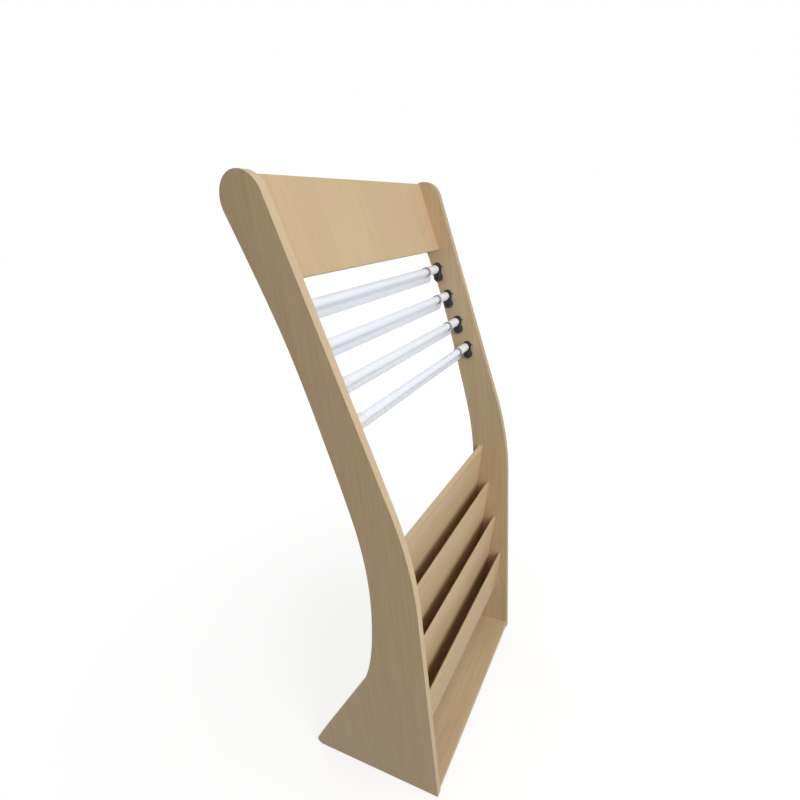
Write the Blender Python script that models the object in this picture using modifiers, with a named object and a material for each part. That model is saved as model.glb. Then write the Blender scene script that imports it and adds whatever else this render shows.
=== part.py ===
"""Book and magazine rack: two leaning side panels carry a header board, three magazine pockets, a base board and
four newspaper clips that hang on plastic hooks. Metres, X to the right, Y to the back, Z up.
The origin is on the floor, under the middle of the rack."""

from math import atan2, cos, degrees, pi, radians, sin, sqrt, tan

import bmesh
import bpy
from mathutils import Matrix, Vector

# Overall size and board thicknesses
WIDTH = 0.680
HEIGHT = 1.633
DEPTH = 0.434
PANEL_T = 0.018
BACK_T = 0.015
POCKET_T = 0.009
BASE_T = 0.018

# Clearances
SEAT = 0.0003  # between pieces that touch
RUN = 0.0004  # round the hinge of a clip
EASE = 0.0008  # eased edge of a board
MARGIN = 0.002  # how far a cutter reaches past a face

# Outline of a side panel: y is measured back from the foot of the front edge, leans in degrees from upright
UPRIGHT = 0.735  # height at which the front edge starts to curve back
FRONT_R = 1.040
FRONT_LEAN = 15.7
TOP_R = 0.047
TOP_REAR_LEAN = 19.5
WAIST = (0.1230, 0.8047)
# Share of the height from the waist to the rounded top, width behind the front edge, lean
UPPER_REAR = ((0.747, 0.0859, 17.0), (0.470, 0.0945, 11.7), (0.216, 0.1101, 10.0))
# y, z and lean of the rear edge below the waist
LOWER_REAR = ((0.1416, 0.6008, -9.5), (0.1833, 0.4456, -23.0), (0.2237, 0.3759, -30.8))
FOOT_LEAN = -30.3
FOOT_R = 0.020

# Header board
HEADER_H = 0.1775
HEADER_LEAN = 16.0
HEADER_DROP = 0.0042  # its top below the top of the panels
HEADER_RECESS = 0.0473  # behind the front edges, at its top

# Pockets: each board is the front of its own pocket and the back of the one below it
POCKET_LEAN = -9.2
BACK_TOP = (0.0859, 0.8307)
POCKET_TOPS = ((0.0651, 0.6884), (0.0431, 0.5433), (0.0212, 0.3817))
POCKET_H = 0.181  # from a pocket's top edge to the underside of its floor

# Base board
BASE_TOP = 0.030
BASE_DEPTH = 0.300

# Hooks: one pair for each clip, on a line that leans more than the front edge
CLIPS = 4
HOOK_DROP = 0.2300  # first pair below the top of the panels
HOOK_RECESS = 0.0759  # first pair behind the front edge
HOOK_PITCH = 0.0816
HOOK_LEAN = 20.8
# Outline of a hook, in y and z from the axis of the grip that it carries
HOOK_D = 0.012  # how far the cradle stands out from the panel
PLATE_T = 0.0038  # plate behind the end of the grip
HOOK_ROUND = 0.0007
ARCH = (-0.0055, 0.0060)
ARCH_R = 0.0130
ARCH_FRONT = 168.0  # where the arch starts, in degrees from the back over the top
LOBE = (-0.0090, -0.0220)
LOBE_R = 0.0123
WALL_END = -62.0  # where the rear wall runs into the lobe
WAIST_Y = -0.0166
CRADLE_T = 0.0026
CRADLE_FRONT = 195.0  # ends of the cradle, in degrees from the back over the top
CRADLE_REAR = 325.0
NUB = (-0.0217, 0.0075)
NUB_R = 0.0013
NUB_ARC = (250.0, 110.0)
NUB_NECK = (0.00325, -0.00208)  # from the nub's centre
SILL_FALL = 0.15  # slope of the cut over the front end of the cradle
PEG_R = 0.0025
PEG_L = 0.005
PEG_AT = (-0.0040, 0.0095)
SCREW_AT = (-0.0090, -0.0240)
SCREW_R = 0.00175
SCREW_L = 0.020
SCREW_HEAD_R = 0.0038
SCREW_HEAD_H = 0.0022
COUNTERBORE = 0.0030

# Newspaper clip, measured from the axis of its tube
CLIP_TILT = 23.3  # the lips hang down and back
GRIP_R = 0.0125
GRIP_L = 0.055
GRIP_ROUND = 0.0016
GRIP_GAP = 0.001  # between the end of the grip and the plate of the hook
TUBE_R = 0.0085
TUBE_WALL = 0.0022
TUBE_INSERT = 0.040  # how far the tube reaches into a grip
COLLAR_WALL = 0.0013
COLLAR_L = 0.010
COLLAR_WEB = 0.002
LEAF_T = 0.0018
WRAP_START = 5.0  # the front jaw's wrap, in degrees from the back over the top
LEAF_ANGLE = 210.0  # where its leaf leaves the wrap
LIP_END = -0.037
LIP_TOP = -0.0185  # top of the lips where they run on under the grips
LIP_GAP = 0.0004
LIP_INSET = 0.023  # from the panel to the end of the lips
REAR_ROOT_ANGLE = -30.0
SPRING_CLEAR = 0.0014  # between the spring and the tube
SPRING_WIRE_R = 0.0006
SPRING_TURNS = 2.5
SPRING_PITCH = 0.0024

# Cam fittings of the header and the base
CAM_R = 0.0075
CAM_L = 0.012
CAM_INSET = 0.034
CAM_SLOT = (0.009, 0.0014, 0.0016)

# Facets
ROUND_STEPS = 20
TUBE_STEPS = 26
SMALL_STEPS = 12
PANEL_STEPS = 7
ARC_STEPS = 5
HOOK_STEPS = 4

INNER = WIDTH / 2 - PANEL_T  # inner face of a side panel, from the middle
CRADLE_R = GRIP_R + SEAT
TUBE_BORE_R = TUBE_R - TUBE_WALL
SPRING_R = TUBE_R + SPRING_CLEAR + SPRING_WIRE_R
SPRING_ROOM_R = SPRING_R + SPRING_WIRE_R + 2 * SEAT
COLLAR_R = SPRING_ROOM_R + COLLAR_WALL

FINISHES = {
    "board": ((0.56, 0.42, 0.26, 1.0), 0.55, 0.0),
    "aluminium": ((0.78, 0.80, 0.84, 1.0), 0.32, 0.9),
    "white_plastic": ((0.84, 0.83, 0.81, 1.0), 0.40, 0.0),
    "grey_plastic": ((0.16, 0.16, 0.17, 1.0), 0.50, 0.0),
    "black_plastic": ((0.02, 0.02, 0.022, 1.0), 0.45, 0.0),
    "black_steel": ((0.03, 0.03, 0.033, 1.0), 0.40, 0.6),
    "steel": ((0.55, 0.55, 0.56, 1.0), 0.35, 1.0),
    "zinc": ((0.50, 0.50, 0.52, 1.0), 0.45, 1.0),
}


def clear_scene():
    for obj in list(bpy.data.objects):
        bpy.data.objects.remove(obj, do_unlink=True)


def new_collection(name):
    made = bpy.data.collections.new(name)
    bpy.context.scene.collection.children.link(made)
    return made


clear_scene()
RACK = new_collection("magazine_rack")
CUTTERS = new_collection("cutters")

# Everything is placed from the foot of the panels' front edges, and this parent centres it over the origin
CENTRE = bpy.data.objects.new("rack_centre", None)
CENTRE.location = (0, -DEPTH / 2, 0)
RACK.objects.link(CENTRE)


def finish(name):
    """The Principled material of that finish."""
    found = bpy.data.materials.get(name)
    if found:
        return found
    colour, roughness, metallic = FINISHES[name]
    made = bpy.data.materials.new(name)
    made.use_nodes = True
    shader = made.node_tree.nodes["Principled BSDF"]
    shader.inputs["Base Color"].default_value = colour
    shader.inputs["Roughness"].default_value = roughness
    shader.inputs["Metallic"].default_value = metallic
    made.diffuse_color = colour
    return made


def piece(name, mesh, finish_name, parent=CENTRE, location=(0, 0, 0), smooth=False):
    """A sub-part: its own object, in its finish, placed from its parent."""
    made = bpy.data.objects.new(name, mesh)
    RACK.objects.link(made)
    made.parent = parent
    made.location = location
    if not mesh.materials:
        mesh.materials.append(finish(finish_name))
    if smooth:
        mesh.shade_smooth()
        mesh.set_sharp_from_angle(angle=radians(35))
    return made


def helper(name, mesh, location=(0, 0, 0)):
    """An object that only cuts another or adds to it."""
    made = bpy.data.objects.new(name, mesh)
    CUTTERS.objects.link(made)
    made.location = location
    made.hide_render = True
    made.display_type = "WIRE"
    return made


def boolean(obj, other, operation="DIFFERENCE"):
    modifier = obj.modifiers.new(operation.lower(), "BOOLEAN")
    modifier.operation = operation
    modifier.object = other
    modifier.solver = "EXACT"


def bevel(obj, width, angle=40):
    modifier = obj.modifiers.new("eased_edges", "BEVEL")
    modifier.width = width
    modifier.segments = 1
    modifier.limit_method = "ANGLE"
    modifier.angle_limit = radians(angle)


def baked(obj, name):
    """The object's mesh with its modifiers applied, in its own axes. The object is removed."""
    graph = bpy.context.evaluated_depsgraph_get()
    mesh = bpy.data.meshes.new_from_object(obj.evaluated_get(graph))
    mesh.name = name
    shape = bmesh.new()
    shape.from_mesh(mesh)
    bmesh.ops.remove_doubles(shape, verts=shape.verts, dist=1e-6)
    shape.to_mesh(mesh)
    shape.free()
    mesh.materials.clear()
    bpy.data.objects.remove(obj, do_unlink=True)
    return mesh


def mirrored(mesh, name):
    """The same shape for the other side, turned over at x = 0."""
    made = mesh.copy()
    made.name = name
    made.transform(Matrix.Scale(-1, 4, (1, 0, 0)))
    made.flip_normals()
    return made


def box_mesh(name, size):
    shape = bmesh.new()
    bmesh.ops.create_cube(shape, size=1.0, matrix=Matrix.Diagonal((*size, 1.0)))
    mesh = bpy.data.meshes.new(name)
    shape.to_mesh(mesh)
    shape.free()
    return mesh


def rod(shape, radius, start, end, at=(0, 0), steps=SMALL_STEPS):
    """A closed cylinder along X, added to a bmesh; at is its y and z."""
    turn = Matrix.Rotation(pi / 2, 4, "Y")
    middle = Matrix.Translation(((start + end) / 2, *at))
    bmesh.ops.create_cone(
        shape,
        cap_ends=True,
        segments=steps,
        radius1=radius,
        radius2=radius,
        depth=end - start,
        matrix=middle @ turn,
    )


def rods_mesh(name, rods):
    """One mesh of separate cylinders along X: radius, start, end and (y, z) of each."""
    shape = bmesh.new()
    for radius, start, end, at in rods:
        rod(shape, radius, start, end, at)
    mesh = bpy.data.meshes.new(name)
    shape.to_mesh(mesh)
    shape.free()
    return mesh


def heading(angle):
    return Vector((cos(radians(angle)), sin(radians(angle))))


def arc_knots(centre, radius, start, end, count):
    """Knots round an arc, from one angle to another: x, y, and the heading in and out of each."""
    side = 90 if end > start else -90
    knots = []
    for i in range(count):
        angle = start + (end - start) * i / (count - 1)
        x, y = Vector(centre) + radius * heading(angle)
        knots.append((x, y, angle + side, angle + side))
    return knots


def sharp(knot, arriving=None, leaving=None):
    """The same knot with another heading in or out: None runs straight to the neighbour."""
    return (knot[0], knot[1], arriving, leaving)


def outline_mesh(name, knots, thickness, steps):
    """A closed outline in y and z, with its thickness along X. A knot is y, z, heading in and heading out.
    The reach of a handle makes a segment between even headings an exact circular arc."""
    curve = bpy.data.curves.new(name, "CURVE")
    curve.dimensions = "2D"
    curve.fill_mode = "BOTH"
    curve.extrude = thickness / 2
    curve.resolution_u = steps
    spline = curve.splines.new("BEZIER")
    spline.bezier_points.add(len(knots) - 1)
    spline.use_cyclic_u = True
    points = spline.bezier_points
    for knot, point in zip(knots, points):
        point.co = (knot[0], knot[1], 0)
        point.handle_left_type = "VECTOR" if knot[2] is None else "FREE"
        point.handle_right_type = "VECTOR" if knot[3] is None else "FREE"
    for i, knot in enumerate(knots):
        j = (i + 1) % len(knots)
        ahead = knots[j]
        if knot[3] is None:
            continue
        chord = (Vector(ahead[:2]) - Vector(knot[:2])).length
        turn = (ahead[2] - knot[3] + 180) % 360 - 180
        reach = chord / (3 * cos(radians(turn) / 4) ** 2)
        points[i].handle_right = (Vector(knot[:2]) + reach * heading(knot[3])).to_3d()
        points[j].handle_left = (Vector(ahead[:2]) - reach * heading(ahead[2])).to_3d()
    drawn = bpy.data.objects.new(name, curve)
    CUTTERS.objects.link(drawn)
    mesh = baked(drawn, name)
    # The curve's x, y and z become the rack's y, z and x
    mesh.transform(Matrix(((0, 0, 1, 0), (1, 0, 0, 0), (0, 1, 0, 0), (0, 0, 0, 1))))
    return mesh


def turned_mesh(name, profile, steps, closed=False):
    """A profile of (radius, x) turned round the X axis. It runs down its outer side, from the largest x."""
    mesh = bpy.data.meshes.new(name)
    edges = [(i, i + 1) for i in range(len(profile) - 1)]
    if closed:
        edges.append((len(profile) - 1, 0))
    mesh.from_pydata([(r, 0, x) for r, x in profile], edges, [])
    drawn = bpy.data.objects.new(name, mesh)
    CUTTERS.objects.link(drawn)
    screw = drawn.modifiers.new("turned", "SCREW")
    screw.axis = "Z"
    screw.steps = steps
    screw.render_steps = steps
    screw.use_merge_vertices = True
    screw.merge_threshold = 0.00001
    solid = baked(drawn, name)
    solid.transform(Matrix.Rotation(pi / 2, 4, "Y"))
    return solid


# Places that several pieces share


def front_edge(z):
    """How far back the panels' front edge lies at a height."""
    lean = radians(FRONT_LEAN)
    curve_end = UPRIGHT + FRONT_R * sin(lean)
    if z <= UPRIGHT:
        return 0.0
    if z < curve_end:
        return FRONT_R - sqrt(FRONT_R**2 - (z - UPRIGHT) ** 2)
    return FRONT_R * (1 - cos(lean)) + (z - curve_end) * tan(lean)


def hook_place(n):
    """y and z of the axis of clip n, from 0 at the top."""
    z = HEIGHT - HOOK_DROP
    step = n * HOOK_PITCH
    lean = radians(HOOK_LEAN)
    return front_edge(z) + HOOK_RECESS - step * sin(lean), z - step * cos(lean)


def up_and_back(lean):
    """Directions up a leaning board and out of its rear face, in y and z."""
    angle = radians(lean)
    return Vector((sin(angle), cos(angle))), Vector((cos(angle), -sin(angle)))


# Side panels


def panel_knots():
    """The outline of a side panel, up the front edge, over the top and down the rear edge to the foot."""
    lean = radians(FRONT_LEAN)
    curve_end = UPRIGHT + FRONT_R * sin(lean)
    top_z = HEIGHT - TOP_R
    top_centre = (front_edge(top_z) + TOP_R / cos(lean), top_z)
    top = arc_knots(top_centre, TOP_R, 180 - FRONT_LEAN, -TOP_REAR_LEAN, 3)
    knots = [(0.0, 0.0, None, None), (0.0, UPRIGHT, None, 90.0)]
    knots.append((front_edge(curve_end), curve_end, 90 - FRONT_LEAN, None))
    knots.append(sharp(top[0], None, top[0][3]))
    knots += top[1:]
    waist_y, waist_z = WAIST
    for share, width, tilt in UPPER_REAR:
        z = waist_z + share * (top[2][1] - waist_z)
        knots.append((front_edge(z) + width, z, -90 - tilt, -90 - tilt))
    knots.append((waist_y, waist_z, -90.0, -90.0))
    for y, z, tilt in LOWER_REAR:
        knots.append((y, z, -90 - tilt, -90 - tilt))
    foot_centre = (DEPTH - FOOT_R, FOOT_R)
    foot = arc_knots(foot_centre, FOOT_R, -FOOT_LEAN, -90, 3)
    knots += foot[:2]
    knots.append(sharp(foot[2], foot[2][2], None))
    return knots


def drillings(side):
    """Blind holes in the inner face of a panel for the screws and pegs of its hooks."""
    rods = []
    for n in range(CLIPS):
        y, z = hook_place(n)
        for (dy, dz), radius, depth in (
            (SCREW_AT, SCREW_R, SCREW_L - HOOK_D + COUNTERBORE),
            (PEG_AT, PEG_R, PEG_L),
        ):
            ends = sorted((side * (INNER - MARGIN), side * (INNER + depth + 2 * SEAT)))
            rods.append((radius + SEAT, *ends, (y + dy, z + dz)))
    return rods_mesh("drillings", rods)


def make_side_panels():
    for name, side in (("left_side_panel", -1), ("right_side_panel", 1)):
        mesh = outline_mesh(name, panel_knots(), PANEL_T, PANEL_STEPS)
        panel = piece(name, mesh, "board", location=(side * (INNER + PANEL_T / 2), 0, 0))
        bevel(panel, EASE)
        cutter = helper(name + "_drillings", drillings(side))
        cutter.parent = CENTRE
        boolean(panel, cutter)


# Boards between the panels


def slab(name, top, height, thickness, lean):
    """A board from panel to panel; top is the y and z of its upper front edge."""
    up, back = up_and_back(lean)
    middle = Vector(top) - up * height / 2 + back * thickness / 2
    mesh = box_mesh(name, (2 * (INNER - SEAT), thickness, height))
    board = piece(name, mesh, "board", location=(0, *middle))
    board.rotation_euler.x = radians(-lean)
    bevel(board, EASE)
    return board


def cams(prefix, board, thickness, across, face):
    """Cam fittings in one face of a board, two at each end, let in flush. across lists their places over the
    board's height or depth; face is the board's own axis that the fittings look along, and its sign."""
    axis, sign = face
    mesh = bpy.data.meshes.get("cam") or cam_mesh()
    number = 1
    for side in (-1, 1):
        for place in across:
            spot = Vector((side * (INNER - CAM_INSET), 0, 0))
            spot["xyz".index("z" if axis == "y" else "y")] = place
            spot["xyz".index(axis)] = sign * thickness / 2
            turn = (0, 0, sign * pi / 2) if axis == "y" else (0, -sign * pi / 2, 0)
            hole = bmesh.new()
            rod(hole, CAM_R + SEAT, -CAM_L - SEAT, MARGIN)
            hole_mesh = bpy.data.meshes.new("cam_hole")
            hole.to_mesh(hole_mesh)
            hole.free()
            cutter = helper(f"{prefix}_cam_hole_{number}", hole_mesh, spot)
            cutter.rotation_euler = turn
            cutter.parent = board
            boolean(board, cutter)
            cam = piece(f"{prefix}_cam_{number}", mesh, "zinc", board, spot, smooth=True)
            cam.rotation_euler = turn
            number += 1


def cam_mesh():
    """A cam housing with its face at x = 0 and a screwdriver slot across it."""
    rim = 0.0005
    profile = [(0, 0), (CAM_R - rim, 0), (CAM_R, -rim), (CAM_R, -CAM_L), (0, -CAM_L)]
    body = bpy.data.objects.new("cam_body", turned_mesh("cam_body", profile, SMALL_STEPS))
    CUTTERS.objects.link(body)
    length, width, depth = CAM_SLOT
    slot = helper("cam_slot", box_mesh("cam_slot", (2 * depth, length, width)))
    boolean(body, slot)
    mesh = baked(body, "cam")
    bpy.data.objects.remove(slot, do_unlink=True)
    return mesh


def make_header():
    top_z = HEIGHT - HEADER_DROP
    top = (front_edge(top_z) + HEADER_RECESS, top_z)
    header = slab("header_board", top, HEADER_H, PANEL_T, HEADER_LEAN)
    reach = HEADER_H / 4
    cams("header", header, PANEL_T, (-reach, reach), ("y", 1))


def make_base():
    size = (2 * (INNER - SEAT), BASE_DEPTH, BASE_T)
    at = (0, BASE_DEPTH / 2, BASE_TOP - BASE_T / 2)
    base = piece("base_board", box_mesh("base_board", size), "board", location=at)
    bevel(base, EASE)
    reach = BASE_DEPTH / 3
    cams("base", base, BASE_T, (-reach, reach), ("z", -1))


def make_pockets():
    """The back board, the three pocket boards and the three floors between them."""
    up, back = up_and_back(POCKET_LEAN)
    tops = [Vector(BACK_TOP)] + [Vector(top) for top in POCKET_TOPS]
    floors = [top.dot(up) - POCKET_H for top in tops[1:]]
    names = ("back_board", "pocket_board_1", "pocket_board_2", "pocket_front")
    thicknesses = (BACK_T, POCKET_T, POCKET_T, POCKET_T)
    for i, (name, top, thickness) in enumerate(zip(names, tops, thicknesses)):
        lowest = floors[min(i, len(floors) - 1)]
        slab(name, top, top.dot(up) - lowest, thickness, POCKET_LEAN)
    for i, level in enumerate(floors):
        rear, front = tops[i], tops[i + 1]
        clear = (rear - front).dot(back) - POCKET_T
        middle = up * (level + POCKET_T / 2) + back * (front.dot(back) + POCKET_T + clear / 2)
        size = (2 * (INNER - SEAT), clear - 2 * SEAT, POCKET_T)
        floor = piece(f"pocket_floor_{i + 1}", box_mesh("floor", size), "board", location=(0, *middle))
        floor.rotation_euler.x = radians(-POCKET_LEAN)


# Hooks


def hook_knots():
    """A hook seen from the side: an arch, a rear wall, a lobe for the screw, a waist and a nub in front."""
    arch = arc_knots(ARCH, ARCH_R, ARCH_FRONT, 0, 3)
    wall = arc_knots((0, 0), CRADLE_R + CRADLE_T, CRADLE_REAR - 360, WALL_END, 2)
    lobe = arc_knots(LOBE, LOBE_R, 0, -180, 3)
    nub = arc_knots(NUB, NUB_R, *NUB_ARC, 2)
    neck = Vector(NUB) + Vector(NUB_NECK)
    tip = CRADLE_R * heading(CRADLE_REAR)
    knots = [sharp(arch[0], None, arch[0][3]), arch[1], sharp(arch[2], arch[2][2], None)]
    knots.append((tip.x, tip.y, None, None))
    knots += [sharp(wall[0], None, wall[0][3]), wall[1], *lobe]
    waist_z = CRADLE_R * sin(radians(CRADLE_FRONT)) - CRADLE_T
    knots.append((WAIST_Y, waist_z, 90.0, None))
    knots.append((neck.x, neck.y, None, None))
    knots += [sharp(nub[0], None, nub[0][3]), sharp(nub[1], nub[1][2], None)]
    return knots


def clearance_knots():
    """What is cut away in front of a hook's plate, down to the cradle."""
    seat = arc_knots((0, 0), CRADLE_R, CRADLE_FRONT, CRADLE_REAR, 3)
    far = 3 * GRIP_R
    front = seat[0][1] - SILL_FALL * (far + seat[0][0])
    rear = seat[2][1]
    knots = [sharp(seat[0], None, seat[0][3]), seat[1], sharp(seat[2], seat[2][2], None)]
    knots += [(far, rear, None, None), (far, far, None, None), (-far, far, None, None), (-far, front, None, None)]
    return knots


def round_rims(mesh):
    """Eases the outer edges of the faces that look away from the panel."""
    shape = bmesh.new()
    shape.from_mesh(mesh)
    rims = [
        edge
        for edge in shape.edges
        if abs(edge.verts[0].co.x - edge.verts[1].co.x) < SEAT
        and edge.verts[0].co.x < -PLATE_T / 2
        and edge.is_convex
        and edge.calc_face_angle(0.0) > radians(60)
    ]
    bmesh.ops.bevel(shape, geom=rims, offset=HOOK_ROUND, segments=1, profile=0.5, affect="EDGES")
    shape.to_mesh(mesh)
    shape.free()


def hook_mesh():
    """A hook for the right side, with x measured out from the panel's face."""
    mesh = outline_mesh("hook_body", hook_knots(), HOOK_D, HOOK_STEPS)
    mesh.transform(Matrix.Translation((-HOOK_D / 2, 0, 0)))
    body = bpy.data.objects.new("hook_body", mesh)
    CUTTERS.objects.link(body)
    clear_mesh = outline_mesh("over_cradle", clearance_knots(), HOOK_D, ARC_STEPS)
    clear = helper("over_cradle", clear_mesh, (-HOOK_D / 2 - PLATE_T, 0, 0))
    hole = helper(
        "screw_hole",
        rods_mesh("screw_hole", [(SCREW_R + SEAT, -HOOK_D - MARGIN, MARGIN, SCREW_AT)]),
    )
    sink = helper(
        "screw_sink",
        rods_mesh(
            "screw_sink",
            [(SCREW_HEAD_R + SEAT, -HOOK_D - MARGIN, -HOOK_D + COUNTERBORE, SCREW_AT)],
        ),
    )
    peg = helper("peg", rods_mesh("peg", [(PEG_R, -PLATE_T / 2, PEG_L, PEG_AT)]))
    boolean(body, clear)
    blank = baked(body, "hook_blank")
    round_rims(blank)
    body = bpy.data.objects.new("hook_blank", blank)
    CUTTERS.objects.link(body)
    boolean(body, hole)
    boolean(body, sink)
    boolean(body, peg, "UNION")
    made = baked(body, "hook")
    for used in (clear, hole, sink, peg):
        bpy.data.objects.remove(used, do_unlink=True)
    return made


def screw_mesh():
    """A pan-head screw; x = 0 is under its head, and the shank runs to +x."""
    dome = [(0.0, -1.0), (0.62, -0.92), (0.9, -0.62), (1.0, -0.2), (1.0, 0.0)]
    head = [(r * SCREW_HEAD_R, x * SCREW_HEAD_H) for r, x in dome]
    shank = [(SCREW_R, 0.0), (SCREW_R, SCREW_L - SCREW_R), (0.0, SCREW_L)]
    profile = head + shank
    return turned_mesh("screw", profile[::-1], SMALL_STEPS)


def make_hooks():
    hooks = {1: hook_mesh()}
    hooks[-1] = mirrored(hooks[1], "hook_left")
    screws = {1: screw_mesh()}
    screws[-1] = mirrored(screws[1], "screw_left")
    for n in range(CLIPS):
        y, z = hook_place(n)
        for word, side in (("left", -1), ("right", 1)):
            at = (side * (INNER - SEAT), y, z)
            hook = piece(f"hook_{n + 1}_{word}", hooks[side], "black_plastic", location=at, smooth=True)
            under_head = side * (-HOOK_D + COUNTERBORE - SEAT)
            spot = (under_head, *SCREW_AT)
            piece(f"hook_screw_{n + 1}_{word}", screws[side], "black_steel", hook, spot, smooth=True)


# Newspaper clips


GRIP_END = INNER - SEAT - PLATE_T - GRIP_GAP
GRIP_START = GRIP_END - GRIP_L
TUBE_END = GRIP_START + TUBE_INSERT
COLLAR_START = GRIP_START - SEAT - COLLAR_L
JAW_END = COLLAR_START - SEAT
LIP_LENGTH = 2 * (INNER - LIP_INSET)
WRAP_IN = TUBE_R + RUN
WRAP_OUT = WRAP_IN + LEAF_T


def grip_mesh(name, start, shoulder):
    """A moulded grip with a blind bore for the tube; a shoulder is a thicker inner end."""
    bore_end = TUBE_END + 2 * SEAT
    outer = [(0.0, GRIP_END), (GRIP_R - GRIP_ROUND, GRIP_END)]
    outer.append((GRIP_R - GRIP_ROUND * 0.3, GRIP_END - GRIP_ROUND * 0.3))
    outer.append((GRIP_R, GRIP_END - GRIP_ROUND))
    inner_r = GRIP_R
    if shoulder:
        outer.append((GRIP_R, start + shoulder))
        inner_r = COLLAR_R
        outer.append((inner_r, start + shoulder - (COLLAR_R - GRIP_R)))
    outer.append((inner_r, start + EASE))
    outer.append((inner_r - EASE, start))
    bore = [(TUBE_R + SEAT, start), (TUBE_R + SEAT, bore_end), (0.0, bore_end)]
    return turned_mesh(name, outer + bore, ROUND_STEPS)


def collar_mesh():
    """The ring that houses the closing spring, open towards the jaw."""
    end = GRIP_START - SEAT
    profile = [(TUBE_R + SEAT, end), (COLLAR_R - EASE, end), (COLLAR_R, end - EASE)]
    profile += [(COLLAR_R, COLLAR_START + EASE), (COLLAR_R - EASE, COLLAR_START)]
    profile += [(SPRING_ROOM_R, COLLAR_START), (SPRING_ROOM_R, end - COLLAR_WEB)]
    profile.append((TUBE_R + SEAT, end - COLLAR_WEB))
    return turned_mesh("collar", profile, ROUND_STEPS, closed=True)


def spring_mesh():
    """The torsion spring round the tube."""
    per_turn = 10
    length = SPRING_TURNS * SPRING_PITCH
    start = (COLLAR_START + GRIP_START - COLLAR_WEB - length) / 2
    count = int(SPRING_TURNS * per_turn) + 1
    points = []
    for i in range(count):
        turn = i / per_turn
        around = heading(360 * turn)
        points.append(Vector((start + turn * SPRING_PITCH, *(SPRING_R * around))))
    curve = bpy.data.curves.new("spring", "CURVE")
    curve.dimensions = "3D"
    curve.bevel_depth = SPRING_WIRE_R
    curve.bevel_resolution = 1
    curve.use_fill_caps = True
    spline = curve.splines.new("POLY")
    spline.points.add(count - 1)
    for point, place in zip(spline.points, points):
        point.co = (*place, 1.0)
    drawn = bpy.data.objects.new("spring", curve)
    CUTTERS.objects.link(drawn)
    return baked(drawn, "spring")


def lip_cutters(side):
    """A box that clears a jaw's wrap and leaf away from over a grip, and leaves its lip."""
    length = INNER - JAW_END
    height = WRAP_OUT - LIP_TOP + MARGIN
    size = (length, 4 * WRAP_OUT, height)
    at = (side * (JAW_END + length / 2), 0, LIP_TOP + height / 2)
    return helper("lip_cutter", box_mesh("lip_cutter", size), at)


def cut_lips(obj):
    cutters = [lip_cutters(-1), lip_cutters(1)]
    for cutter in cutters:
        boolean(obj, cutter)
    return cutters


def jaw_knots():
    """The front jaw: a wrap round the tube, a leaf tangent to it and an upright lip."""
    leaf = heading(LEAF_ANGLE + 90)
    outer = arc_knots((0, 0), WRAP_OUT, WRAP_START, LEAF_ANGLE, 4)
    inner = arc_knots((0, 0), WRAP_IN, LEAF_ANGLE, WRAP_START, 4)
    back_y = -LIP_GAP / 2
    front_y = back_y - LEAF_T
    front_z = outer[3][1] + (front_y - outer[3][0]) / leaf.x * leaf.y
    back_z = inner[0][1] + (back_y - inner[0][0]) / leaf.x * leaf.y
    knots = [sharp(outer[0], None, outer[0][3]), *outer[1:3], sharp(outer[3], outer[3][2], None)]
    knots += [(front_y, front_z, None, None), (front_y, LIP_END, None, None)]
    knots += [(back_y, LIP_END, None, None), (back_y, back_z, None, None)]
    knots += [sharp(inner[0], None, inner[0][3]), *inner[1:3], sharp(inner[3], inner[3][2], None)]
    return knots


def jaw_mesh():
    body = bpy.data.objects.new("jaw", outline_mesh("jaw", jaw_knots(), LIP_LENGTH, ARC_STEPS))
    CUTTERS.objects.link(body)
    cutters = cut_lips(body)
    mesh = baked(body, "jaw")
    for used in cutters:
        bpy.data.objects.remove(used, do_unlink=True)
    return mesh


def rear_leaf_knots():
    """The rear jaw's leaf and lip; its root is buried in the wall of the tube."""
    root = (TUBE_R + TUBE_BORE_R) / 2 * heading(REAR_ROOT_ANGLE)
    near_y = LIP_GAP / 2
    far_y = near_y + LEAF_T
    bend = Vector((near_y + LEAF_T / 2, LIP_TOP))
    run = (root - bend).normalized()
    across = Vector((run.y, -run.x)) * LEAF_T / 2
    near_z = bend.y - across.y + (near_y - (bend - across).x) / run.x * run.y
    far_z = bend.y + across.y + (far_y - (bend + across).x) / run.x * run.y
    places = (root - across, root + across, (far_y, far_z), (far_y, LIP_END), (near_y, LIP_END), (near_y, near_z))
    return [(y, z, None, None) for y, z in places]


def spine_mesh():
    """The tube and the rear jaw, one extrusion with its leaf milled away at both ends."""
    ring = [(TUBE_R, TUBE_END), (TUBE_R, -TUBE_END), (TUBE_BORE_R, -TUBE_END), (TUBE_BORE_R, TUBE_END)]
    tube = bpy.data.objects.new("spine", turned_mesh("spine", ring, TUBE_STEPS, closed=True))
    CUTTERS.objects.link(tube)
    leaf = helper("rear_leaf", outline_mesh("rear_leaf", rear_leaf_knots(), LIP_LENGTH, ARC_STEPS))
    cutters = cut_lips(leaf)
    boolean(tube, leaf, "UNION")
    mesh = baked(tube, "spine")
    for used in (leaf, *cutters):
        bpy.data.objects.remove(used, do_unlink=True)
    return mesh


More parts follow.
